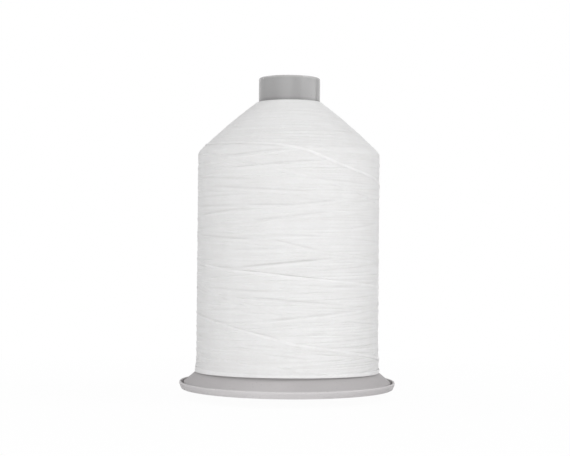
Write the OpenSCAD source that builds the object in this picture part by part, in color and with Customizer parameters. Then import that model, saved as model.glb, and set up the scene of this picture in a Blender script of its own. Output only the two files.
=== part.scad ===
// King spool of waxed thread: barrel, conical flange, snap base that locks the thread's end,
// and the thread package. Millimetres, +Z up, origin under the centre of the foot.

/* [Barrel] */
// Height of the whole spool above the surface it stands on
spool_h = 121; // [110:1:140]
// Outer radius of the barrel
barrel_r = 12; // [11:0.5:14]
// Wall of the barrel
barrel_wall = 1.6; // [1.2:0.1:2]
// Rounding of the barrel's top edge
barrel_edge = 0.6; // [0.4:0.1:1.5]
// Radius of the spindle bore in the barrel's top
spindle_r = 5.5; // [4:0.25:6]
// Length of the collar round the spindle bore, from the top face down
collar_len = 14; // [8:1:20]
// Wall of that collar
collar_wall = 1.8; // [1.2:0.1:2]
// Thickness of the web that closes the barrel's top round the collar
web_t = 2.4; // [1.5:0.1:3]

/* [Cone flange] */
// Outer radius of the conical flange
cone_r = 40.3; // [38:0.1:41]
// Height of the cone's outer edge above the surface
cone_edge_z = 2.4; // [2.3:0.1:3]
// Slope of the cone from horizontal, degrees
cone_angle = 40; // [36:1:44]
// Wall of the cone, square to its surface
cone_wall = 1.6; // [1.2:0.1:2]
// Wall of the hub sleeve that grips the barrel
hub_wall = 1.8; // [1.4:0.1:2.4]
// Number of radial ribs under the cone
rib_count = 8; // [4:2:12]
// Thickness of a rib
rib_t = 1.2; // [0.8:0.1:1.6]

/* [Snap base] */
// Outer radius at the tip of the upturned lip
lip_r = 42; // [41.9:0.1:44]
// Height of the lip's tip above the surface
lip_h = 2.7; // [2.6:0.1:3]
// Thickness of the lip
lip_t = 0.8; // [0.7:0.05:1]
// How far the lip's wall draws in down to the foot
lip_draw = 0.8; // [0.4:0.1:1]
// Thickness of the channel's floor, where the flange's rim sits
floor_t = 1.1; // [0.9:0.1:1.1]
// Width of the foot ring that the spool stands on
foot_w = 6.7; // [4:0.1:10]
// Step up from the foot ring to the middle of the base
step_h = 0.8; // [0.5:0.1:1]
// Radius of the hole through the middle of the base
base_bore_r = 7.2; // [6.5:0.1:7.2]
// Number of slots that part the snap fingers, an even number
slot_count = 6; // [4:2:8]
// Width of a slot
slot_w = 3.2; // [2:0.1:4]
// Width of the moulding window under each hook
window_w = 4.4; // [3:0.1:5]
// How far the base slides out of the flange to take the thread's end
lock_travel = 3; // [2:0.5:4]

/* [Thread] */
// Diameter of the waxed thread
thread_d = 0.8; // [0.6:0.05:1]
// Radius of the thread package over its outer turns
wound_r = 35.5; // [33:0.5:35.5]
// Height where the straight side turns into the conical shoulder
shoulder_z = 91.1; // [80:0.5:95]
// Height where the inner layers meet the barrel
neck_z = 110.6; // [105:0.1:111]
// Crown of the shoulder over a straight cone
shoulder_crown = 0.55; // [0:0.05:1]
// Rounding where the side meets the shoulder
shoulder_round = 3; // [1:0.5:5]
// Loops of the outer turns from the flange to the neck
loops = 24; // [12:1:24]
// How far the first turn at the flange stands out past the rest
first_turn_bulge = 0.9; // [0.9:0.1:1.4]

/* [Hidden] */
$fn = 96;

// Running space between pieces that move on each other
play = 0.4;
// Least space between a turn of thread and the layer under it
lay_gap = 0.05;
// Steps of a rounding, and of a small one
arc_steps = 6;
small_arc_steps = 3;
// A small overlap that fuses pieces of one moulding
fuse = 0.3;
// How far a cutter runs past what it cuts
cut = 1;

// Thickness of the base's raised middle
mid_t = 1.2;

// Barrel and flange
barrel_bore_r = barrel_r - barrel_wall;
cone_slope = tan(cone_angle);
cone_drop = cone_wall / cos(cone_angle);
hub_r = barrel_r + hub_wall;
hub_ledge_r = 9.2;
hub_ledge_z = 6;
cone_top_r = barrel_r + 0.6;
rim_z = floor_t + play;
base_mid_z = step_h + mid_t;
hub_z = base_mid_z + play;
rim_round = 0.3;
rim_round_z = cone_edge_z + rim_round * (cone_slope - 1 / cos(cone_angle));
mouth_chamfer = 0.8;
top_chamfer = 0.4;
foot_chamfer = 0.4;
collar_rib_count = 4;
collar_rib_drop = 2;

// Snap base
foot_r = lip_r - lip_draw;
foot_in_r = foot_r - foot_w;
step_run = 1;
lip_inner_angle = 15;
finger_gap = 0.5;
finger_r = hub_ledge_r - finger_gap;
hook_r = barrel_bore_r - play;
hook_gap = 0.3;
hook_z = hub_ledge_z + lock_travel + hook_gap;
hook_t = 0.7;
finger_tip = 3;
finger_top_z = hook_z + finger_tip;
slot_z = 4;

// Thread package: a loop of the outer turns has loop_steps rings of turn_sides corners
loop_steps = 24;
turn_sides = 6;
thread_r = thread_d / 2;
turn_flat = thread_r * cos(180 / turn_sides);
core_r = (wound_r - thread_r) * cos(180 / loop_steps) - turn_flat - lay_gap;
shoulder_a = atan((neck_z - shoulder_z) / (core_r - barrel_r));

// Height of the cone's upper surface at radius r
function cone_z(r) = cone_edge_z + (cone_r - r) * cone_slope;

// Points of an arc round [x, z] from angle a0 to a1
function arc(x, z, r, a0, a1, n = arc_steps) =
    [for (i = [0:n]) let (a = a0 + (a1 - a0) * i / n) [x + r * cos(a), z + r * sin(a)]];

// Side of the inner layers, the rounding over it, then the crowned shoulder up to the barrel.
// The rounding's arc is tangent to the side and, but for the crown, to the shoulder.
round_len = shoulder_round * tan((90 - shoulder_a) / 2);
round_z = shoulder_z - round_len;
slope_start = [
    core_r - shoulder_round + shoulder_round * sin(shoulder_a),
    round_z + shoulder_round * cos(shoulder_a)
];
slope_end = [barrel_r, neck_z];
slope_len = norm(slope_end - slope_start);
round_arc = shoulder_round * (90 - shoulder_a) * PI / 180;
side_z = cone_z(core_r);
side_len = round_z - side_z;
round_steps = 4;
crown_steps = 10;

function slope_point(t) =
    slope_start + (slope_end - slope_start) * t
    + 4 * t * (1 - t) * shoulder_crown * [sin(shoulder_a), cos(shoulder_a)];

// Point and outward normal of the inner layers' surface, s along it from the flange
function round_angle(s) = (s - side_len) / shoulder_round * 180 / PI;
function wound_point(s) =
    s < side_len ? [core_r, side_z + s]
    : s < side_len + round_arc
    ? [core_r - shoulder_round, round_z] + shoulder_round * [cos(round_angle(s)), sin(round_angle(s))]
    : slope_point((s - side_len - round_arc) / slope_len);
function wound_normal(s) =
    s < side_len ? [1, 0]
    : s < side_len + round_arc ? [cos(round_angle(s)), sin(round_angle(s))]
    : [sin(shoulder_a), cos(shoulder_a)];

// The ends of the thread leave the package on a quarter bend, then run straight for one
// diameter, square to the flange at the bottom and to the barrel at the top
bend_r = 0.9;
bend_steps = 4;
end_reach = thread_d + bend_r;
cone_normal = [sin(cone_angle), cos(cone_angle)];
foot_inset = 0.3;
first_foot_r = core_r + first_turn_bulge - foot_inset;
first_point = [first_foot_r, cone_z(first_foot_r)] + end_reach * cone_normal;
turn_lift = turn_flat + lay_gap;
first_s = first_point[1] - side_z;
last_turn_share = 0.955;
last_s = side_len + round_arc + slope_len * last_turn_share;
end_loops = 0.6;
first_turn_out = first_point[0] - chord_out(core_r + turn_lift);
last_turn_up = neck_z + thread_r + lay_gap - wound_point(last_s)[1] - turn_lift * cos(shoulder_a);
foot_hinge = [cos(cone_angle), 0, -sin(cone_angle)];

// Middle of the thread at u loops from the flange, as [radius, height]: it lies turn_lift off
// the inner layers, measured at the middle of a chord, and stands out further at both ends
function chord_out(r) = r / cos(180 / loop_steps);
function ease(u) = pow(max(0, 1 - u / end_loops), 2);
function turn_rz(u) =
    let (
        s = first_s + (last_s - first_s) * u / loops,
        p = wound_point(s) + turn_lift * wound_normal(s)
    )
    [
        chord_out(p[0]) + first_turn_out * ease(u),
        p[1] + last_turn_up * ease(loops - u)
    ];
function turn_point(u) =
    let (p = turn_rz(u))
    [p[0] * cos(360 * u), p[0] * sin(360 * u), p[1]];

// A quarter bend from point p, which the thread leaves along unit vector along, to a straight
// end that meets a surface along unit vector into
function thread_end(p, along, into) =
    concat(
        [for (i = [1:bend_steps]) let (a = 90 * i / bend_steps)
            p + bend_r * (sin(a) * along + (1 - cos(a)) * into)],
        [p + bend_r * along + end_reach * into]
    );

turn_rings = [for (i = [0:loops * loop_steps]) turn_point(i / loop_steps)];
last_turn = turn_rings[loops * loop_steps];
foot_into = -[cone_normal[0], 0, cone_normal[1]];
foot_end = thread_end(turn_rings[0], [0, -1, 0], foot_into);
neck_reach = norm([last_turn[0], last_turn[1]]) - barrel_r;
neck_bend = neck_reach - thread_d;
neck_end = concat(
    [for (i = [1:bend_steps]) let (a = 90 * i / bend_steps)
        last_turn + neck_bend * [-(1 - cos(a)), sin(a), 0]],
    [[barrel_r, last_turn[1] + neck_bend, last_turn[2]]]
);
thread_path = concat(
    [for (i = [len(foot_end) - 1:-1:0]) foot_end[i]],
    turn_rings,
    neck_end
);

// Least distance between rings that are at least half a loop apart, less the thread's diameter
half_loop = loop_steps / 2;
path_last = len(thread_path) - 1;
turn_gap = min([for (i = [0:path_last - half_loop])
    min([for (j = [i + half_loop:path_last]) norm(thread_path[i] - thread_path[j])])]) - thread_d;
echo("least gap of the outer turns to themselves, mm", turn_gap);

// Barrel: a tube closed by a web at the top, with a collar round the spindle bore
module barrel() {
    collar_r = spindle_r + collar_wall;
    collar_z = spool_h - collar_len;
    color([0.69, 0.69, 0.70])
    union() {
        rotate_extrude()
        polygon(concat(
            [
                [barrel_bore_r, hub_ledge_z],
                [barrel_r - foot_chamfer, hub_ledge_z],
                [barrel_r, hub_ledge_z + foot_chamfer]
            ],
            arc(barrel_r - barrel_edge, spool_h - barrel_edge, barrel_edge, 0, 90),
            [
                [spindle_r + top_chamfer, spool_h],
                [spindle_r, spool_h - top_chamfer],
                [spindle_r, collar_z + mouth_chamfer],
                [spindle_r + mouth_chamfer, collar_z],
                [collar_r, collar_z],
                [collar_r, spool_h - web_t],
                [barrel_bore_r, spool_h - web_t]
            ]
        ));
        for (i = [0:collar_rib_count - 1])
            rotate([0, 0, 360 / collar_rib_count * (i + 0.5)])
            translate([collar_r - fuse, -rib_t / 2, collar_z + collar_rib_drop])
            cube([
                barrel_bore_r - collar_r + 2 * fuse,
                rib_t,
                collar_len - collar_rib_drop - web_t / 2
            ]);
    }
}

// Cone flange: the cone, its hub sleeve with the ledge that the barrel stands on, and the ribs
module cone_flange() {
    under_r = cone_r - (rim_z - cone_z(cone_r) + cone_drop) / cone_slope;
    rib_out_r = cone_r - (hub_z - cone_edge_z + cone_drop) / cone_slope;
    color([0.72, 0.71, 0.715])
    union() {
        rotate_extrude()
        polygon(concat(
            [
                [hub_ledge_r, hub_z],
                [hub_r, hub_z],
                [hub_r, cone_z(hub_r) - cone_drop],
                [under_r, rim_z],
                [cone_r, rim_z]
            ],
            arc(cone_r - rim_round, rim_round_z, rim_round, 0, 90 - cone_angle, small_arc_steps),
            [
                [cone_top_r, cone_z(cone_top_r)],
                [barrel_r, cone_z(cone_top_r)],
                [barrel_r, hub_ledge_z],
                [hub_ledge_r, hub_ledge_z]
            ]
        ));
        for (i = [0:rib_count - 1])
            rotate([0, 0, 360 / rib_count * (i + 0.5)])
            translate([0, rib_t / 2, 0])
            rotate([90, 0, 0])
            linear_extrude(rib_t)
            polygon([
                [hub_r - fuse, hub_z],
                [rib_out_r + fuse, hub_z],
                [hub_r - fuse, cone_z(hub_r - fuse) - cone_drop + fuse]
            ]);
    }
}

// Snap base: foot ring, upturned lip, raised middle, and the fingers whose hooks catch over
// the hub's ledge when the base is drawn out. A window under each hook lets the mould form it.
module lock_base() {
    tip_round = lip_t / 2;
    color([0.80, 0.79, 0.80])
    difference() {
        rotate_extrude()
        polygon(concat(
            [[foot_in_r, 0], [foot_r, 0]],
            [for (i = [1:arc_steps]) let (t = i / arc_steps)
                [foot_r + lip_draw * sin(90 * t), (lip_h - tip_round) * t]],
            arc(lip_r - tip_round, lip_h - tip_round, tip_round, lip_inner_angle, 180),
            [
                [lip_r - lip_t, floor_t],
                [foot_in_r + step_run, floor_t],
                [foot_in_r, base_mid_z],
                [finger_r, base_mid_z],
                [finger_r, hook_z],
                [hook_r, hook_z],
                [hook_r, hook_z + hook_t],
                [finger_r, finger_top_z],
                [base_bore_r, finger_top_z],
                [base_bore_r, step_h],
                [foot_in_r - step_run, step_h]
            ]
        ));
        for (i = [0:slot_count / 2 - 1])
            rotate([0, 0, 360 / slot_count * i])
            translate([-hook_r - cut, -slot_w / 2, slot_z])
            cube([2 * (hook_r + cut), slot_w, finger_top_z]);
        for (i = [0:slot_count - 1])
            rotate([0, 0, 360 / slot_count * (i + 0.5)])
            translate([finger_r, -window_w / 2, 0])
            cube([hook_r + play - finger_r, window_w, base_mid_z + cut]);
    }
}

// Inner layers of thread, a plain body under the outer turns
module wound_core() {
    color([0.93, 0.92, 0.90])
    rotate_extrude()
    polygon(concat(
        [[barrel_r, cone_z(cone_top_r)], [cone_top_r, cone_z(cone_top_r)], [core_r, side_z]],
        arc(core_r - shoulder_round, round_z, shoulder_round, 0, 90 - shoulder_a, round_steps),
        [for (i = [1:crown_steps]) slope_point(i / crown_steps)]
    ));
}

// Ring of turn_sides corners square to the thread, one flat towards the spool's axis
function ring(i) =
    let (
        p = thread_path[i],
        along = thread_path[min(i + 1, path_last)] - thread_path[max(i - 1, 0)],
        t = along / norm(along),
        first_corner = corner_way(i, t),
        a_dir = first_corner / norm(first_corner),
        b_dir = cross(t, a_dir)
    )
    [for (k = [0:turn_sides - 1]) let (a = 360 / turn_sides * k)
        p + thread_r * (cos(a) * a_dir + sin(a) * b_dir)];

// Way that a ring's first corner points: it turns with each bend, so the thread never twists
function corner_way(i, t) =
    i < len(foot_end) ? sin(cone_angle) * foot_hinge + cos(cone_angle) * cross(t, foot_hinge)
    : i > path_last - len(neck_end) ? [0, 0, -1]
    : cross(t, [thread_path[i][0], thread_path[i][1], 0]);

// Outer turns: one unbroken thread from the flange to the neck
module outer_turns() {
    corners = [for (i = [0:path_last]) each ring(i)];
    sides = [for (i = [0:path_last - 1], k = [0:turn_sides - 1])
        let (
            a = i * turn_sides + k,
            b = i * turn_sides + (k + 1) % turn_sides
        )
        each [[a, b + turn_sides, b], [a, a + turn_sides, b + turn_sides]]];
    first_cap = [for (k = [1:turn_sides - 2]) [0, k, k + 1]];
    end = path_last * turn_sides;
    last_cap = [for (k = [1:turn_sides - 2]) [end, end + k + 1, end + k]];
    color([0.96, 0.95, 0.93])
    polyhedron(corners, concat(sides, first_cap, last_cap), convexity = 10);
}

barrel();
cone_flange();
lock_base();
wound_core();
outer_turns();
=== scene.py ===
# %% [markdown]
# # A king spool of waxed thread
# The spool is three plastic mouldings and one very long thread. The mouldings come finished from
# the CAD frame and only need good plastic. The thread package is the piece that is made here: it
# is wound strand by strand by a small laying rule, so that every groove and crossing that shows
# has a real strand beside it.
#
# Loading the frame brings in the mouldings. The boxes of its parts give the sizes that the thread
# is wound to.

# %% Load the frame
import math

import bpy
import numpy as np
from mathutils import Matrix, Vector


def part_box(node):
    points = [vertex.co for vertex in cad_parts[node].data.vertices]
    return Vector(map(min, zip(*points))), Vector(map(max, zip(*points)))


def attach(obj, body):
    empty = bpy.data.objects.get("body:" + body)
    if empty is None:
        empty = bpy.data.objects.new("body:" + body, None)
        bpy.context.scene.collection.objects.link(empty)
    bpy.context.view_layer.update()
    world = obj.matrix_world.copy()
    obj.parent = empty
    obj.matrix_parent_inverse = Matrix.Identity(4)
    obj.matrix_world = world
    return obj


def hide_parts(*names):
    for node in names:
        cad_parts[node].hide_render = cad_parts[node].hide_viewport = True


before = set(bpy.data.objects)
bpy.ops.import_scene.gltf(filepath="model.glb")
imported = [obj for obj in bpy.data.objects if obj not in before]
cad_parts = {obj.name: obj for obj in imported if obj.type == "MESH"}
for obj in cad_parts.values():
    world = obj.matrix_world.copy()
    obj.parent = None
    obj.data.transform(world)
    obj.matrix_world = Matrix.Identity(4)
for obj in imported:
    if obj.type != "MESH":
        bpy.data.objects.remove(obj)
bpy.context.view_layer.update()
MM = 0.001

# %% [markdown]
# ## Camera
# The camera stands a little over half a metre in front of the spool and almost level with it,
# with a portrait lens, so both the shoulder and the lip look nearly flat. It leans by half a
# degree, as a hand-set camera does. The small shift only moves the frame sideways.

# %% Camera
PICTURE_W = 570
SENSOR_W = 36
FOCAL_PX = 1330
CAMERA_DISTANCE = 521 * MM
CAMERA_HEIGHT = 54.6 * MM
LOOK_UP = math.radians(0.853)
LEAN = math.radians(0.49)
AXIS_OFF_CENTRE_PX = 3.28
NEAREST_SEEN = 10 * MM

camera_data = bpy.data.cameras.new("camera")
camera = bpy.data.objects.new("camera", camera_data)
bpy.context.scene.collection.objects.link(camera)
camera_data.sensor_width = SENSOR_W
camera_data.lens = FOCAL_PX * SENSOR_W / PICTURE_W
camera_data.shift_x = -AXIS_OFF_CENTRE_PX / PICTURE_W
camera_data.clip_start = NEAREST_SEEN
camera.matrix_world = (
    Matrix.Translation((0, -CAMERA_DISTANCE, CAMERA_HEIGHT))
    @ Matrix.Rotation(math.pi / 2 + LOOK_UP, 4, "X")
    @ Matrix.Rotation(LEAN, 4, "Z")
)
bpy.context.scene.camera = camera
bpy.context.scene.view_settings.view_transform = "Standard"
print("lens", round(camera_data.lens, 1), "mm")

# %% [markdown]
# ## Shader maths
# A material reads best as arithmetic. This class wraps one socket of a node tree, so `a * 2 + b`
# adds the Math nodes for us, and `node` adds any other node: its settings first, then the values
# or links of its sockets. The finishes here need only sums and products.


# %% A socket that does sums
def link_or_set(tree, socket, value):
    """Links a Value to the socket. Anything else becomes the socket's own constant."""
    if isinstance(value, Value):
        tree.links.new(value.socket, socket)
    else:
        socket.default_value = value


class Value:
    """A socket in a material's tree. Operators on it add Math nodes; a plain number stays one."""

    def __init__(self, tree, socket):
        self.tree = tree
        self.socket = socket

    def node(self, kind, settings=None, out=0, **inputs):
        """Adds a node and returns one of its outputs. inputs are named after sockets, or i0, i1
        for a socket's number; a value is a Value, a number, or a tuple."""
        made = self.tree.nodes.new(kind)
        for name, setting in (settings or {}).items():
            setattr(made, name, setting)
        for name, value in inputs.items():
            is_number = name[0] == "i" and name[1:].isdigit()
            socket = made.inputs[int(name[1:]) if is_number else name.replace("_", " ")]
            link_or_set(self.tree, socket, value)
        return Value(self.tree, made.outputs[out])

    def sibling(self, out):
        """Another output, by name or number, of the node that this value comes from."""
        return Value(self.tree, self.socket.node.outputs[out])

    def maths(self, operation, *others):
        """One Math node of the named operation on this value and the others."""
        inputs = {f"i{number}": value for number, value in enumerate((self, *others))}
        return self.node("ShaderNodeMath", {"operation": operation}, **inputs)

    def __add__(self, other):
        return self.maths("ADD", other)

    __radd__ = __add__

    def __mul__(self, other):
        return self.maths("MULTIPLY", other)

    __rmul__ = __mul__

    def between(self, low, high):
        """0 below low, 1 above high, and an even rise from one to the other."""
        return self.node(
            "ShaderNodeMapRange", {"clamp": True}, Value=self, From_Min=low, From_Max=high
        )


def mix_colour(start, colour_a, colour_b, amount):
    """A colour between two, each a Value or an RGBA tuple, by a Value or number from 0 to 1."""
    return start.node(
        "ShaderNodeMix", {"data_type": "RGBA"}, out=2, i0=amount, i6=colour_a, i7=colour_b
    )


def new_material(name):
    """An empty material with its shader and a Value to start its sums from."""
    material = bpy.data.materials.new(name)
    material.use_nodes = True
    tree = material.node_tree
    shader = tree.nodes["Principled BSDF"]
    start = Value(tree, tree.nodes.new("ShaderNodeTexCoord").outputs["Object"])
    return material, shader, start


def feed(start, shader, **values):
    """Links or sets the sockets of a shader, each named after its socket."""
    for name, value in values.items():
        link_or_set(start.tree, shader.inputs[name.replace("_", " ")], value)


print("shader sums ready")

# %% [markdown]
# ## Floor and backdrop
# The floor and the world are a white page to the camera and to reflections, by the Light Path
# node, however the spool is lit. Close to the spool the floor stays a little less than fully
# white, so it keeps a faint shadow. It lies just deeper than the snap base can slide out, so
# that it never hides the open lock. The light that the world sends is even and weak.

# %% Floor and world
FLOOR_SIZE = 4.0
FLOOR_Z = -3.1 * MM
FLOOR_WHITENESS = 0.97
FULLY_WHITE_BETWEEN = (60 * MM, 220 * MM)
FLOOR_COLOUR = (0.93, 0.93, 0.93, 1)
PAGE_WHITE = (1, 1, 1, 1)
WORLD_LIGHT = (0.97, 0.975, 1.0, 1)
WORLD_STRENGTH = 0.34

floor_mesh = bpy.data.meshes.new("floor")
half = FLOOR_SIZE / 2
floor_corners = [(x * half, y * half, FLOOR_Z) for x, y in ((-1, -1), (1, -1), (1, 1), (-1, 1))]
floor_mesh.from_pydata(floor_corners, [], [(0, 1, 2, 3)])
floor = bpy.data.objects.new("floor", floor_mesh)
bpy.context.scene.collection.objects.link(floor)


def seen_directly(start):
    """1 for rays from the camera, from glossy surfaces and through clear ones, else 0: the
    largest of the three outputs that say so."""
    camera_ray = start.node("ShaderNodeLightPath", out="Is Camera Ray")
    glossy_ray = camera_ray.sibling("Is Glossy Ray")
    clear_ray = camera_ray.sibling("Is Transmission Ray")
    return camera_ray.maths("MAXIMUM", glossy_ray).maths("MAXIMUM", clear_ray)


floor_material, floor_shader, start = new_material("white_floor")
feed(start, floor_shader, Base_Color=FLOOR_COLOUR, Roughness=1.0, Specular_IOR_Level=0.0)
white_page = start.node("ShaderNodeEmission", Color=PAGE_WHITE, Strength=1.0)
from_spool = start.node("ShaderNodeVectorMath", {"operation": "LENGTH"}, out=1, i0=start)
whiteness = FLOOR_WHITENESS + (1 - FLOOR_WHITENESS) * from_spool.between(*FULLY_WHITE_BETWEEN)
floor_mix = start.node(
    "ShaderNodeMixShader",
    i0=seen_directly(start) * whiteness,
    i1=Value(start.tree, floor_shader.outputs[0]),
    i2=white_page,
)
start.tree.links.new(floor_mix.socket, start.tree.nodes["Material Output"].inputs["Surface"])
floor_mesh.materials.append(floor_material)

world = bpy.data.worlds.new("studio")
bpy.context.scene.world = world
world.use_nodes = True
world_tree = world.node_tree
background = world_tree.nodes["Background"]
studio = Value(world_tree, background.outputs[0])
feed(studio, background, Color=WORLD_LIGHT, Strength=WORLD_STRENGTH)
page = studio.node("ShaderNodeBackground", Color=PAGE_WHITE, Strength=1.0)
world_mix = studio.node("ShaderNodeMixShader", i0=seen_directly(studio), i1=studio, i2=page)
world_tree.links.new(world_mix.socket, world_tree.nodes["World Output"].inputs["Surface"])
print("floor", FLOOR_SIZE, "m across")

# %% [markdown]
# ## Lamps
# Thread is a soft, matt surface and the barrel is a shiny one, so the lamps are chosen for both.
# Two wide, low lamps in front light the package evenly. They lie so low that the upright barrel
# doesn't mirror them, and it would look flat, so a thin strip far on the right draws its soft
# highlight. A lamp high on each side lights the ends of the shoulder, and one above lights the
# flange and the lip.

# %% Soft lamps
LAMP_AIM = (0, 0, 60 * MM)
LAMPS = [
    # (name, place in m, width and height in m, power in W)
    ("front_left", (-0.30, -0.98, 0.055), 0.8, 0.09, 3.75),
    ("front_right", (0.28, -0.98, 0.055), 1.0, 0.09, 1.2),
    ("strip_right", (1.01, -0.21, 0.24), 1.5, 0.07, 1.05),
    ("high_right", (0.73, -0.13, 0.80), 0.4, 0.4, 2.7),
    ("high_left", (-0.70, 0.25, 0.80), 0.4, 0.4, 1.4),
    ("above", (0.0, -0.18, 1.09), 0.5, 0.5, 1.0),
]


def soft_lamp(name, place, width, height, power):
    """An area lamp at place that faces the middle of the spool. A lamp shines along its own -Z,
    so its Z is turned to point straight away from there."""
    lamp = bpy.data.lights.new(name, "AREA")
    lamp.shape = "RECTANGLE"
    lamp.size = width
    lamp.size_y = height
    lamp.energy = power
    holder = bpy.data.objects.new(name, lamp)
    bpy.context.scene.collection.objects.link(holder)
    away = Vector(place) - Vector(LAMP_AIM)
    turned = away.to_track_quat("Z", "Y").to_matrix().to_4x4()
    holder.matrix_world = Matrix.Translation(place) @ turned


for lamp_row in LAMPS:
    soft_lamp(*lamp_row)
print(len(LAMPS), "lamps placed")

# %% [markdown]
# ## The package's outline
# A side, a small rounding and a conical shoulder, turned round the barrel. Everything that lies
# on the package is placed by s, the distance along this outline from the flange up to the neck,
# and by how deep it lies under the outline.

# %% Outline of the thread package
BARREL_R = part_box("barrel")[1].x / MM
CORE_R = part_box("wound_core")[1].x / MM
CORE_NECK_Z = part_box("wound_core")[1].z / MM
CONE_RIM_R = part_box("cone_flange")[1].x / MM
CONE_TOP_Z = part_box("cone_flange")[1].z / MM
TURNS_OVER_CORE = 1.1
TURNS_OVER_NECK = 1.35
WOUND_R = CORE_R + TURNS_OVER_CORE
NECK_Z = CORE_NECK_Z + TURNS_OVER_NECK
SHOULDER_Z = 91.6
SHOULDER_ROUND = 3.0
SHOULDER_CROWN = 0.55
FOOT_BULGE = 0.25
FOOT_BULGE_REACH = 5.0
CONE_TOP_STEP = 0.6
CONE_TOP_R = BARREL_R + CONE_TOP_STEP
CONE_EDGE_Z = 2.4
CONE_SLOPE = (CONE_TOP_Z - CONE_EDGE_Z) / (CONE_RIM_R - CONE_TOP_R)
OUTLINE_STEPS = 2000

shoulder_angle = math.atan((NECK_Z - SHOULDER_Z) / (WOUND_R - BARREL_R))
lean_up = math.pi / 2 - shoulder_angle
round_z = SHOULDER_Z - SHOULDER_ROUND * math.tan(lean_up / 2)
side_bottom_z = CONE_EDGE_Z + (CONE_RIM_R - WOUND_R) * CONE_SLOPE
side_length = round_z - side_bottom_z
round_length = SHOULDER_ROUND * lean_up
slope_start = np.array(
    [
        WOUND_R - SHOULDER_ROUND + SHOULDER_ROUND * math.sin(shoulder_angle),
        round_z + SHOULDER_ROUND * math.cos(shoulder_angle),
    ]
)
slope_end = np.array([BARREL_R, NECK_Z])
slope_length = np.linalg.norm(slope_end - slope_start)
outline_length = side_length + round_length + slope_length


def outline(s):
    """Radius, height and lean of the outward normal at s: straight up the side, a circular
    arc, then a straight slope raised by a parabola that is highest at its middle. A bell curve
    of s widens the foot, where the flange pushes the turns out."""
    s = np.asarray(s, float)
    turn = np.clip(s - side_length, 0, round_length) / SHOULDER_ROUND
    t = np.clip((s - side_length - round_length) / slope_length, 0, 1)
    crown = 4 * t * (1 - t) * SHOULDER_CROWN
    on_slope = s > side_length + round_length
    bulge = FOOT_BULGE * np.exp(-((s / FOOT_BULGE_REACH) ** 2))
    arc_r = WOUND_R + bulge - SHOULDER_ROUND * (1 - np.cos(turn))
    arc_z = np.minimum(side_bottom_z + s, round_z) + SHOULDER_ROUND * np.sin(turn)
    run_r, run_z = slope_end - slope_start
    slope_r = slope_start[0] + run_r * t + crown * math.sin(shoulder_angle)
    slope_z = slope_start[1] + run_z * t + crown * math.cos(shoulder_angle)
    return np.where(on_slope, slope_r, arc_r), np.where(on_slope, slope_z, arc_z), turn


def s_at_height(z):
    """The s at which the outline has height z, read off a table of the outline's heights."""
    steps = np.linspace(0, outline_length, OUTLINE_STEPS)
    return np.interp(z, outline(steps)[1], steps)


print("outline", round(outline_length, 1), "mm, package radius", round(WOUND_R, 2), "mm")

# %% [markdown]
# ## How the thread is laid
# On a winding machine the spool turns and a guide runs up and down, so the thread climbs to the
# right on its way up, falls to the right on its way down, and crosses itself at a small angle.
# Two curves say where it lies: the guide's path, which is s against turns, and its depth under
# the outline, which shrinks evenly as the package grows. Taut waxed thread flattens where it
# crosses what it lies on, so no other bump is needed. A first slow pass covers the whole package.
# Quick passes then cross over it and leave the slow one showing between them.

# %% The guide's path
COLUMNS = 720
FIRST_S = 0.8
NECK_MARGIN = 0.6
SLOW_PITCH = 0.92
QUICK_PASSES = 6
QUICK_PITCHES = (4.0, 12.0)
FOOT_TURN_BACKS = (0.7, 2.4)
NECK_TURN_BACKS = (0.0, 0.9)
RANDOM_SEED = 11
rng = np.random.default_rng(RANDOM_SEED)


def winding_knots():
    """Turning points of the guide as rows of (turns, s): one slow pass from the flange to the
    neck, then quick passes down and up. Each turns back at its own height, near the flange or
    at some share of the slope under the neck, and takes its length over its pitch in turns."""
    neck = outline_length - NECK_MARGIN
    made = [(0.0, FIRST_S), ((neck - FIRST_S) / SLOW_PITCH, neck)]
    for number in range(QUICK_PASSES):
        if number % 2 == 0:
            end = rng.uniform(*FOOT_TURN_BACKS)
        else:
            end = neck - rng.uniform(*NECK_TURN_BACKS) * slope_length
        pitch = rng.uniform(*QUICK_PITCHES)
        made.append((made[-1][0] + abs(end - made[-1][1]) / pitch, end))
    return made


knots = winding_knots()
print("guide turns back at", [round(float(s)) for _, s in knots])

# %% [markdown]
# ## The last passes
# The last passes lie on top of everything and are seen whole, so they are placed one by one.
# Turn 0 is the front, a quarter turn the right side. They run up, down and up again, steeper
# than the rest. The very last one arches over the shoulder's edge, falls unevenly to the foot,
# and goes round it where the thread bulges over the flange. A guide never holds a thread quite
# still, so the path also wanders by a few sine waves, least in the slow pass, and not at all in
# the last passes, whose places are given.

# %% Heights of the last passes
LAST_PASSES = [
    # (turns, height in mm)
    (0.00, 30.0), (0.90, 12.0), (1.10, 7.4), (2.00, 25.5), (3.00, 45.5), (3.931, 63.4),
    (3.978, 64.4), (4.053, 66.0), (4.90, 83.8), (4.952, 84.5), (5.00, 84.9), (5.50, 96.0),
    (6.00, 91.0), (7.00, 73.5), (7.975, 54.6), (8.059, 52.6), (8.933, 35.2), (8.976, 34.8),
    (9.054, 33.2), (9.109, 32.3), (10.00, 17.0), (10.50, 7.6), (10.65, 7.4), (11.00, 11.0),
    (12.016, 28.1), (12.054, 29.1), (12.125, 30.3), (12.881, 46.9), (12.936, 47.6), (12.979, 48.6),
    (13.063, 49.8), (13.797, 66.2), (13.880, 67.2), (13.930, 68.0), (14.100, 71.7), (14.878, 87.2),
    (14.934, 88.1), (14.977, 89.5), (15.013, 90.3), (15.45, 96.5),
]
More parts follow.
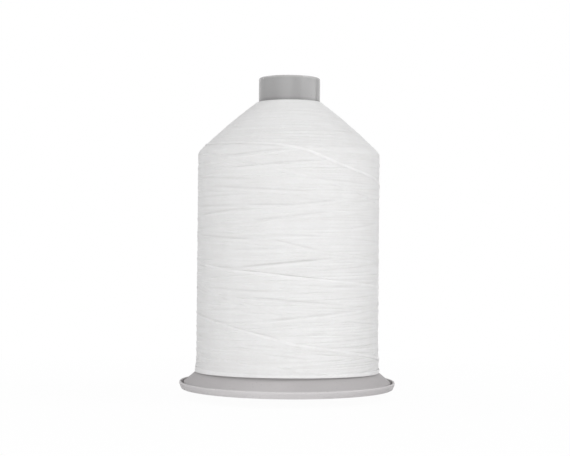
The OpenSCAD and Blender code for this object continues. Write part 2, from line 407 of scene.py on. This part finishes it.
LAST_FALL = [
    # (turns, height in mm)
    (15.940, 93.4), (15.977, 92.7), (16.018, 91.4), (16.052, 88.7), (16.089, 85.6), (16.135, 83.1),
    (16.195, 81.0), (16.300, 75.5), (16.700, 51.5), (16.900, 45.8), (16.957, 45.1), (17.003, 43.8),
    (17.028, 43.2), (17.804, 28.1), (17.882, 25.7), (17.933, 23.4), (17.980, 21.2), (18.001, 19.4),
    (18.250, 11.0),
]
FOOT_TURNS = [
    # (turns, height in mm), all where the outline runs straight up
    (18.50, 8.0), (19.45, 7.2), (19.60, 6.8), (20.40, 6.6),
]

SLOW_WANDER = 0.22
WANDERS = [
    # (waves in a turn, size in mm)
    (0.37, 0.22), (0.83, 0.16), (1.9, 0.10), (4.3, 0.05),
]
SMOOTHING = 30


def smooth(values):
    """A running mean of values under a raised cosine, SMOOTHING columns to each side."""
    weights = np.hanning(2 * SMOOTHING + 1)
    return np.convolve(np.pad(values, SMOOTHING, mode="edge"), weights / weights.sum(), "valid")


last_from = math.ceil(knots[-1][0]) + 1
placed_knots = [(last_from + t, float(s_at_height(z))) for t, z in LAST_PASSES + LAST_FALL]
foot_knots = [(last_from + t, z - side_bottom_z) for t, z in FOOT_TURNS]
path_knots = np.array(knots + placed_knots + foot_knots)

column = np.arange(int(path_knots[-1, 0] * COLUMNS))
turns = column / COLUMNS
guide = np.interp(turns, path_knots[:, 0], path_knots[:, 1])
wander = sum(size * np.sin(2 * np.pi * (pace * turns + rng.random())) for pace, size in WANDERS)
slow_until = knots[1][0]
wander_turns = [0, slow_until, slow_until + 1, last_from - 2, last_from]
wander_share = np.interp(turns, wander_turns, [SLOW_WANDER, SLOW_WANDER, 1, 1, 0])
path_s = smooth(guide) + wander * wander_share
print("the guide runs", round(turns[-1]), "turns")

# %% [markdown]
# ## Depth and lean
# The depth of the thread's middle under the outline falls from the first turn to the last. On top
# of that each stretch lies a little tighter or looser. The last passes lie proud, most of all
# round the foot, where the flange pushes them out. Most of them also lean: the upper edge stands
# out and leaves a thin dark gap over itself. At the front the lowest turns sit a little higher
# over the flange than at the sides.

# %% Depth and lean of the thread
HALF_WIDTH = 0.55
HALF_HEIGHT = 0.14
GROWTH = 0.12
LOOSENESS = 0.015
LOOSENESS_WAVES = 0.13
LOOSENESS_DRIFT = 0.5
LOOSENESS_DRIFT_PACE = 0.7
LIFT_KNOTS = [
    # (turns of the last passes, lift in mm)
    (-0.5, 0.0), (0.5, 0.03), (11.0, 0.04), (15.4, 0.05), (15.8, 0.20), (16.3, 0.15),
    (16.8, 0.05), (17.1, 0.05), (17.88, 0.02), (17.94, 0.12), (18.2, 0.30), (18.5, 0.10),
    (19.1, 0.25), (19.4, 0.30), (19.8, 0.25), (20.2, 0.30), (20.4, -0.30),
]
LEAN_KNOTS = [
    # (turns of the last passes, how far the upper edge stands out in mm)
    (0.0, 0.0), (1.0, 0.08), (15.4, 0.08), (15.8, 0.0), (16.4, 0.0), (16.8, 0.12), (17.1, 0.12),
    (17.7, 0.16), (18.2, 0.14), (18.4, 0.0),
]
FLANGE_GAP = 0.5
FRONT_GAP = 0.75
FRONT_GAP_POWER = 1.5
NECK_GAP = 0.45

lift_turns, lifts = np.array(LIFT_KNOTS).T
lean_turns, leans = np.array(LEAN_KNOTS).T
share_left = np.clip(1 - turns / last_from, 0, 1)
drift = LOOSENESS_DRIFT * np.sin(LOOSENESS_DRIFT_PACE * turns)
tightness = LOOSENESS * np.sin(2 * np.pi * (LOOSENESS_WAVES * turns + drift))
path_depth = HALF_HEIGHT + GROWTH * share_left + tightness
path_depth -= smooth(np.interp(turns - last_from, lift_turns, lifts))
path_lean = smooth(np.interp(turns - last_from, lean_turns, leans))
facing_front = np.clip(np.cos(2 * np.pi * turns), 0, 1)
over_flange = FLANGE_GAP + FRONT_GAP * facing_front**FRONT_GAP_POWER
path_s = np.maximum(path_s, CONE_SLOPE * path_depth + over_flange)
path_s = np.minimum(path_s, outline_length - NECK_GAP)
print("depth", round(float(path_depth.max()), 2), "to", round(float(path_depth.min()), 2), "mm")

# %% [markdown]
# ## Furrows
# A package that has been handled shows furrows: a strand of the outer layer was drawn tight, bit
# into the turns below it and was taken off again. Each furrow is a short line on the package. It
# pushes what lies under it in, along a bell curve across the line, and leaves a low ridge on its
# lower side. It works on every corner of the strands, so it cuts cleanly across them. Each corner
# also keeps a painted-light value for the thread's colour: painted shade in the furrow, and a
# painted highlight on its ridge.

# %% Furrows across the package
FURROWS = [
    # (turn and height of one end, turn and height of the other, depth in mm)
    (-0.119, 88.6, -0.005, 90.9, 0.15), (-0.093, 84.3, 0.066, 87.4, 0.11),
    (-0.205, 81.2, -0.069, 80.1, 0.09), (-0.139, 77.5, 0.035, 75.4, 0.11),
    (-0.073, 70.45, 0.010, 70.55, 0.18), (0.010, 70.55, 0.082, 72.4, 0.12),
    (-0.190, 66.9, -0.069, 69.3, 0.14), (-0.203, 70.2, -0.084, 70.4, 0.12),
    (-0.054, 64.9, 0.071, 68.1, 0.12), (-0.201, 59.4, -0.057, 57.7, 0.13),
    (-0.027, 57.8, 0.050, 53.9, 0.12), (-0.037, 59.6, 0.053, 59.0, 0.10),
    (-0.199, 47.6, -0.083, 47.1, 0.15), (-0.083, 47.4, 0.072, 50.9, 0.24),
    (-0.091, 46.5, 0.065, 43.0, 0.24), (-0.067, 36.6, 0.096, 33.7, 0.14),
    (-0.035, 28.0, 0.123, 31.5, 0.13), (0.034, 23.0, 0.069, 23.3, 0.10),
    (-0.038, 15.6, 0.024, 14.3, 0.11), (-0.150, 39.5, -0.030, 38.6, 0.09),
    (0.110, 62.0, 0.190, 64.2, 0.10), (-0.180, 73.6, -0.060, 74.5, 0.08),
    (0.020, 80.6, 0.150, 78.8, 0.08), (-0.110, 53.8, 0.000, 54.6, 0.07),
    (0.060, 40.2, 0.180, 41.4, 0.08), (-0.170, 31.0, -0.060, 32.2, 0.08),
    (0.050, 18.4, 0.170, 17.2, 0.08), (-0.205, 29.3, -0.110, 26.5, 0.10),
    (-0.118, 25.9, -0.020, 21.9, 0.10),
]
BACK_FURROWS = 18
BACK_LIMITS = [
    # of one end's turn and height, of the reach in turns, of the rise and the depth in mm
    (0.2, 0.7), (12, 92), (0.07, 0.18), (-4, 4), (0.12, 0.3),
]
FURROW_HALF_WIDTH = 0.34
FADE_HEIGHT = 1.3
FADE_REACH = 1.15
RIDGE_SHARE = 0.25
RIDGE_BELOW = 1.0
# painted shade of the furrows: its width, and the depth at which it is full
PAINTED_SHADE_WIDTH = 0.8
PAINTED_SHADE_FULL_DEPTH = 0.34

for _ in range(BACK_FURROWS):
    one_turn, one_z, reach, rise, deepest = [rng.uniform(*limits) for limits in BACK_LIMITS]
    FURROWS.append((one_turn, one_z, one_turn + reach, one_z + rise, deepest))


def furrow_depth(s, turn):
    """How far the furrows push a place in: for each, its depth times a bell curve of the
    distance along s from its line, less a part of that curve again at the ridge, faded out
    towards its ends by a parabola. Also the painted light of the place, from the same depth and a
    narrower bell curve: above 0 it is painted shade in the furrow, and on the ridge it is below 0,
    a painted highlight."""
    total = np.zeros(np.broadcast(s, turn).shape)
    painted_furrow_light = total.copy()
    for turn_a, z_a, turn_b, z_b, deepest in FURROWS:
        half_reach = (turn_b - turn_a) / 2
        from_middle = (turn - (turn_a + turn_b) / 2 + 0.5) % 1 - 0.5
        ends_s = s_at_height([z_a, z_b])
        line_s = np.interp(from_middle, (-half_reach, half_reach), ends_s)
        outward = (from_middle / (half_reach * FADE_REACH)) ** 2
        fade = np.clip(FADE_HEIGHT * (1 - outward), 0, 1)
        away = (s - line_s) / FURROW_HALF_WIDTH
        ridge = np.exp(-((away + RIDGE_BELOW / FURROW_HALF_WIDTH) ** 2))
        total += deepest * fade * (np.exp(-(away**2)) - RIDGE_SHARE * ridge)
        painted_furrow_light += deepest * fade * (np.exp(-((away / PAINTED_SHADE_WIDTH) ** 2)) - ridge)
    return total, np.clip(painted_furrow_light / PAINTED_SHADE_FULL_DEPTH, -1, 1)


print(len(FURROWS), "furrows")

# %% [markdown]
# ## From the laid path to a mesh
# Each strand is an oval ring carried along the path. Every ring stands across the thread, with
# its flat way on the package. The package is cut into a few pieces, so that none is too heavy.

# %% Strand meshes
RING_STEP = 6
RING_SIDES = 12


def make_mesh(name, points, faces, uv=None, painted_furrow_light=None):
    """A smooth piece from points in mm, an array of quads, a uv pair for each corner of each
    quad, and a painted-light value for each point: painted shade in the furrows and a painted
    highlight on their ridges."""
    mesh = bpy.data.meshes.new(name)
    mesh.vertices.add(len(points))
    mesh.vertices.foreach_set("co", (points * MM).astype(np.float32).ravel())
    mesh.loops.add(faces.size)
    mesh.loops.foreach_set("vertex_index", faces.astype(np.int32).ravel())
    mesh.polygons.add(len(faces))
    mesh.polygons.foreach_set("loop_start", np.arange(0, faces.size, 4, dtype=np.int32))
    mesh.polygons.foreach_set("use_smooth", np.ones(len(faces), bool))
    if uv is not None:
        layer = mesh.uv_layers.new(name="along")
        layer.data.foreach_set("uv", uv.astype(np.float32).ravel())
    if painted_furrow_light is not None:
        layer = mesh.attributes.new("painted_furrow_light", "FLOAT", "POINT")
        layer.data.foreach_set("value", painted_furrow_light.astype(np.float32).ravel())
    mesh.update(calc_edges=True)
    mesh.validate()
    piece = bpy.data.objects.new(name, mesh)
    bpy.context.scene.collection.objects.link(piece)
    return piece


def tube_faces(rings, sides):
    """Quads of a tube of rings of sides corners, with the corner number round the ring."""
    ring, side = np.meshgrid(np.arange(rings - 1), np.arange(sides), indexing="ij")
    after = (side + 1) % sides
    here, there = ring * sides, (ring + 1) * sides
    return np.stack([here + side, here + after, there + after, there + side], -1).reshape(-1, 4)


def strand_points(s, depth, lean_out, turn, furrowed):
    """Rings of an oval round the laid path. A ring's corner is the path's middle, moved along
    the outline's slope by the cosine and out along its normal by the sine of the corner's angle.
    lean_out moves the oval's upper edge out and its lower edge in, and the furrows push it in.
    Returns the rings and the painted shade and highlight on their corners."""
    radius, z, lean = outline(s)
    corner = np.arange(RING_SIDES) * 2 * np.pi / RING_SIDES
    along = HALF_WIDTH * np.cos(corner)
    out = HALF_HEIGHT * np.sin(corner) + lean_out[:, None] * np.cos(corner) - depth[:, None]
    pushed, painted_furrow_light = furrow_depth(s[:, None] + along, turn[:, None])
    if furrowed:
        out = out - pushed
    ring_r = radius[:, None] + out * np.cos(lean)[:, None] - along * np.sin(lean)[:, None]
    ring_z = z[:, None] + out * np.sin(lean)[:, None] + along * np.cos(lean)[:, None]
    angle = (turn * 2 * np.pi)[:, None]
    return np.stack([ring_r * np.sin(angle), -ring_r * np.cos(angle), ring_z], -1), painted_furrow_light * furrowed


def strand_piece(name, first, last, furrowed=True):
    """One stretch of the thread, from one column of the path to another, with closed ends. Its
    map runs once round the thread across, and gives the length from the start in mm along."""
    at = np.append(np.arange(first, last, RING_STEP), last)
    rings, painted_furrow_light = strand_points(path_s[at], path_depth[at], path_lean[at], turns[at], furrowed)
    painted_furrow_light = np.pad(painted_furrow_light, ((1, 1), (0, 0)))
    ends = rings[[0, -1]].mean(1, keepdims=True) + np.zeros_like(rings[[0, -1]])
    rings = np.concatenate([ends[:1], rings, ends[1:]])
    faces = tube_faces(len(rings), RING_SIDES)
    steps = np.linalg.norm(np.diff(rings.mean(1), axis=0), axis=1)
    length = np.append(0, np.cumsum(steps))
    round_uv = np.tile(np.array([0, 1, 1, 0]), len(faces)) / RING_SIDES
    side = np.tile(np.repeat(np.arange(RING_SIDES), 4), len(rings) - 1) / RING_SIDES
    ring = np.repeat(np.arange(len(rings) - 1), RING_SIDES * 4)
    ring_up = ring + np.tile(np.array([0, 0, 1, 1]), len(faces))
    uv = np.stack([side + round_uv, length[ring_up]], -1)
    return make_mesh(name, rings.reshape(-1, 3), faces, uv, painted_furrow_light)


LAID_PIECES = 4
last_fall_from = int((last_from + LAST_PASSES[-1][0]) * COLUMNS)
cuts = np.linspace(0, last_fall_from, LAID_PIECES + 1).astype(int)
strands = [
    strand_piece(f"outer_thread_{number}", cuts[number - 1], cuts[number])
    for number in range(1, LAID_PIECES + 1)
]
strands.append(strand_piece("last_fall", last_fall_from, len(column) - 1, furrowed=False))
print("strands", [len(p.data.polygons) * 2 for p in strands], "triangles")

# %% [markdown]
# ## The inner layers
# Between the strands a little of the layer below shows. It is one closed ring: the outline moved
# in by most of a thread on the outside, the barrel and the flange on the inside. It ends a
# thread's width over the flange, so the gap under the lowest turns is dark.

# %% Inner layers
INNER_DEPTH = 0.50
INNER_FOOT = 1.3
INNER_NECK_GAP = 0.3
INNER_STEPS = 90
INNER_COLUMNS = 96


def inner_layers():
    """A closed ring swept round the axis: along the outline, INNER_DEPTH under it, from
    INNER_FOOT over the flange to the neck, then down the barrel, out along the flange to the
    height of the start, and level back to it."""
    s = np.linspace(INNER_FOOT, outline_length - INNER_NECK_GAP, INNER_STEPS)
    radius, z, lean = outline(s)
    outer = np.stack([radius - INNER_DEPTH * np.cos(lean), z - INNER_DEPTH * np.sin(lean)], -1)
    foot_z, neck_z = outer[0, 1], outer[-1, 1]
    foot_r = CONE_RIM_R - (foot_z - CONE_EDGE_Z) / CONE_SLOPE
    inner = [(BARREL_R, neck_z), (BARREL_R, CONE_TOP_Z), (CONE_TOP_R, CONE_TOP_Z), (foot_r, foot_z)]
    section_r, section_z = np.concatenate([outer, inner]).T
    angle = np.linspace(0, 2 * np.pi, INNER_COLUMNS, endpoint=False)[:, None]
    x, y = section_r * np.sin(angle), -section_r * np.cos(angle)
    points = np.stack([x, y, section_z + 0 * angle], -1)
    corners = len(section_z)
    around, along = np.meshgrid(np.arange(INNER_COLUMNS), np.arange(corners), indexing="ij")
    here, there = around * corners, (around + 1) % INNER_COLUMNS * corners
    after = (along + 1) % corners
    quads = np.stack([here + along, there + along, there + after, here + after], -1)
    return make_mesh("inner_thread", points.reshape(-1, 3), quads.reshape(-1, 4))


inner_thread = inner_layers()
print("inner layers", len(inner_thread.data.polygons), "faces")

# %% [markdown]
# ## Thread finish
# Waxed thread is bright white with a little warmth. Its plies show as a fine twist, and the wax
# leaves a low, soft shine. The wax also lies thicker on one length of thread than on the next, so
# its white drifts slowly along it, which sets each turn off from its neighbours. The twist and the
# drift follow the thread, so both read the map along it. In a furrow the painted-light value turns
# the thread grey, a painted shade, and below 0, on a ridge, it turns it to the painted highlight
# white. The last fall lies outermost: it is painted a shade whiter, a painted highlight on the
# proud strand, and doesn't drift.

# %% Waxed thread
THREAD_WHITE = (0.865, 0.861, 0.855, 1)
THREAD_SHADE = (0.80, 0.793, 0.782, 1)
# painted highlight: the white of the proud last fall and of the furrows' ridges
PAINTED_HIGHLIGHT_WHITE = (0.91, 0.905, 0.90, 1)
# painted shade: the grey that the furrows are painted
FURROW_PAINTED_SHADE = (0.60, 0.59, 0.58, 1)
THREAD_ROUGHNESS = 0.46
THREAD_ROUGHNESS_SPREAD = 0.16
THREAD_SPECULAR = 0.2
MOTTLE_SCALE = 220.0
MOTTLE_RANGE = (0.35, 0.7)
MOTTLE_SHARE = 0.4
DRIFT_LENGTH = 60.0
DRIFT_RANGE = (0.35, 0.65)
DRIFT_SHARE = 0.45
TWIST_LENGTH = 2.4
PLIES = 3
FIBRE_SCALE = 5000.0
PLY_HEIGHT = 0.05 * MM
PLY_STRENGTH = 0.6


def thread_colour(start, tint, length, drift_share):
    """The colour tint of a strand, with the slow drift of the wax along its length mixed in,
    and then the painted shade of the furrows and the painted highlight of their ridges."""
    if drift_share:
        drift = start.node(
            "ShaderNodeTexNoise",
            {"noise_dimensions": "1D"},
            W=length * (1 / DRIFT_LENGTH),
            Scale=1.0,
        )
        tint = mix_colour(start, tint, THREAD_SHADE, drift.between(*DRIFT_RANGE) * drift_share)
    # painted shade in the furrows, painted highlight on their ridges
    painted_furrow_light = start.node("ShaderNodeAttribute", {"attribute_name": "painted_furrow_light"}, out=2)
    tint = mix_colour(start, tint, FURROW_PAINTED_SHADE, painted_furrow_light.between(0, 1))
    return mix_colour(start, tint, PAINTED_HIGHLIGHT_WHITE, painted_furrow_light.between(0, -1))


def thread_relief(start, around, length):
    """A bump, half of it fibres and half the plies: a sine of the way round the thread plus
    the length along it, which makes as many spiral ridges as there are plies."""
    twist = ((around * PLIES + length * (1 / TWIST_LENGTH)) * (2 * math.pi)).maths("SINE")
    fibres = start.node("ShaderNodeTexNoise", Vector=start, Scale=FIBRE_SCALE, Detail=2.0)
    height = twist * 0.5 + fibres * 0.5
    return start.node("ShaderNodeBump", Height=height, Strength=PLY_STRENGTH, Distance=PLY_HEIGHT)


def thread_material(name, white, is_strand=True, drift_share=0.0):
    """Waxed thread with a soft mottle. A strand also has the drift, the painted shade and
    highlight of the furrows, and plies, which read the piece's own map and painted-light values."""
    material, shader, start = new_material(name)
    mottle = start.node("ShaderNodeTexNoise", Vector=start, Scale=MOTTLE_SCALE, Detail=3.0)
    tint = mix_colour(start, white, THREAD_SHADE, mottle.between(*MOTTLE_RANGE) * MOTTLE_SHARE)
    if is_strand:
        strand_map = start.node("ShaderNodeUVMap", {"uv_map": "along"})
        around = start.node("ShaderNodeSeparateXYZ", i0=strand_map)
        length = around.sibling("Y")
        tint = thread_colour(start, tint, length, drift_share)
        feed(start, shader, Normal=thread_relief(start, around, length))
    roughness = THREAD_ROUGHNESS + THREAD_ROUGHNESS_SPREAD * mottle
    feed(start, shader, Base_Color=tint, Roughness=roughness, Specular_IOR_Level=THREAD_SPECULAR)
    return material


laid_finish = thread_material("waxed_thread", THREAD_WHITE, drift_share=DRIFT_SHARE)
# the last fall wears the painted highlight
painted_highlight_finish = thread_material("waxed_thread_painted_highlight", PAINTED_HIGHLIGHT_WHITE)
inner_finish = thread_material("waxed_thread_inner", THREAD_WHITE, is_strand=False)
for piece in strands[:-1]:
    piece.data.materials.append(laid_finish)
strands[-1].data.materials.append(painted_highlight_finish)
inner_thread.data.materials.append(inner_finish)
print("thread finish on", len(strands) + 1, "pieces")

# %% [markdown]
# ## Moulded plastic
# The mouldings are satin polypropylene. Its surface isn't one flat grey: the melt leaves faint
# flow marks, handling leaves dull smudges, and the tool's fine texture breaks up the shine. The
# rounded top edges of the barrel and of the lip are painted lighter, a painted highlight, and the
# flange's outer edge is lighter too. Next to the thread the barrel and the flange are painted
# darker, a painted shade where the package shades them, with a painted contact shadow just over
# the neck. All are bands of height, or of distance from the axis, that scale the colour. The
# barrel is polished and mirrors the strip lamp, while the flange and the base are nearly matt.

# %% Moulded plastic
BARREL_GREY = (0.375, 0.37, 0.368, 1)
FLANGE_GREY = (0.555, 0.535, 0.535, 1)
BASE_GREY = (0.63, 0.61, 0.61, 1)
SPOOL_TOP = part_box("barrel")[1].z / MM
LIP_TOP = 2.7
BAND_SHARE = 0.8
FLOW_SCALE = 60.0
FLOW_RANGE = (0.35, 0.7)
FLOW_FACTOR = 0.9
SPECK_SCALE = 1600.0
SPECK_RANGE = (0.68, 0.74)
SPECK_FACTOR = 0.75
SPECK_SHARE = 0.5
SMUDGE_SCALE = 90.0
SMUDGE_SPREAD = 0.16
GRAIN_SCALE = 3500.0
GRAIN_HEIGHT = 0.02 * MM
GRAIN_STRENGTH = 0.35


def height_mm(start):
    """Height over the foot in mm."""
    across = start.node("ShaderNodeSeparateXYZ", i0=start)
    return across.sibling("Z") * (1 / MM)


def radius_mm(start):
    """Distance from the axis in mm: the length of the place with its height taken out."""
    flat = start.node("ShaderNodeVectorMath", {"operation": "MULTIPLY"}, i0=start, i1=(1, 1, 0))
    return start.node("ShaderNodeVectorMath", {"operation": "LENGTH"}, out=1, i0=flat) * (1 / MM)


def scaled(colour, factor):
    """The colour with its red, green and blue multiplied by factor."""
    return tuple(part * factor for part in colour[:3]) + (1,)


def moulded_colour(start, colour, stretch, measure, bands):
    """The grey with flow marks, stretched by stretch, then its bands, then dark specks. Each of
    bands is (from, to, factor): the colour turns towards factor times itself as measure, in mm,
    goes from one to the other."""
    stretched = start.node("ShaderNodeMapping", i0=start, i3=stretch)
    marks = start.node(
        "ShaderNodeTexNoise", Vector=stretched, Scale=FLOW_SCALE, Detail=4.0, Roughness=0.6
    )
    tint = mix_colour(start, colour, scaled(colour, FLOW_FACTOR), marks.between(*FLOW_RANGE))
    for low, high, factor in bands:
        amount = measure(start).between(low, high) * BAND_SHARE
        tint = mix_colour(start, tint, scaled(colour, factor), amount)
    specks = start.node("ShaderNodeTexNoise", Vector=start, Scale=SPECK_SCALE, Detail=1.0)
    amount = specks.between(*SPECK_RANGE) * SPECK_SHARE
    return mix_colour(start, tint, scaled(colour, SPECK_FACTOR), amount)


def moulded_plastic(name, colour, stretch, gloss, measure, bands):
    """Satin grey plastic: the colour above, smudges in the shine, and a fine tool texture. gloss
    is its roughness where no smudge is, and its specular level."""
    material, shader, start = new_material(name)
    smudges = start.node("ShaderNodeTexNoise", Vector=start, Scale=SMUDGE_SCALE, Detail=3.0)
    grain = start.node("ShaderNodeTexNoise", Vector=start, Scale=GRAIN_SCALE, Detail=2.0)
    bump = start.node(
        "ShaderNodeBump", Height=grain, Strength=GRAIN_STRENGTH, Distance=GRAIN_HEIGHT
    )
    roughness, specular = gloss
    feed(
        start,
        shader,
        Base_Color=moulded_colour(start, colour, stretch, measure, bands),
        Roughness=roughness + SMUDGE_SPREAD * smudges,
        Specular_IOR_Level=specular,
        Normal=bump,
    )
    return material


BARREL_SHADE_AND_HIGHLIGHT_BANDS = [
    # painted shade: the barrel turns darker down towards the neck, where the package shades it
    (SPOOL_TOP - 3, NECK_Z, 0.88),
    # painted contact shadow: a dark line just over the neck, against the thread
    (NECK_Z + 1.0, NECK_Z + 0.2, 0.7),
    # painted highlight on the barrel's rounded top edge
    (SPOOL_TOP - 1.0, SPOOL_TOP - 0.1, 1.5),
]
# painted shade next to the thread package, then a lighter outer edge
FLANGE_SHADE_AND_EDGE_BANDS = [(WOUND_R + 1.4, WOUND_R + 0.2, 0.85), (CONE_RIM_R - 0.6, CONE_RIM_R, 1.1)]
# painted highlight on the lip's rounded top edge
BASE_HIGHLIGHT_BANDS = [(LIP_TOP - 0.9, LIP_TOP - 0.2, 1.1)]
finishes = {
    # node: name, colour, stretch of the flow marks, gloss, measure of the bands, bands
    "barrel": moulded_plastic(
        "barrel_plastic", BARREL_GREY, (1, 1, 0.15), (0.14, 0.6), height_mm, BARREL_SHADE_AND_HIGHLIGHT_BANDS
    ),
    "cone_flange": moulded_plastic(
        "flange_plastic", FLANGE_GREY, (0.6, 0.6, 1.5), (0.5, 0.04), radius_mm, FLANGE_SHADE_AND_EDGE_BANDS
    ),
    "lock_base": moulded_plastic(
        "base_plastic", BASE_GREY, (0.6, 0.6, 1.5), (0.45, 0.1), height_mm, BASE_HIGHLIGHT_BANDS
    ),
}
for node, finish in finishes.items():
    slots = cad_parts[node].data.materials
    slots.clear()
    slots.append(finish)
print("plastics on", sorted(finishes))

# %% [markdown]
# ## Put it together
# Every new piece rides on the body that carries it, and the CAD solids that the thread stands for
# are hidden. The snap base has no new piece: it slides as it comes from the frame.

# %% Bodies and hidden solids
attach(inner_thread, "spool")
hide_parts("wound_core")
for piece in strands:
    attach(piece, "spool")
    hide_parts("outer_turns")
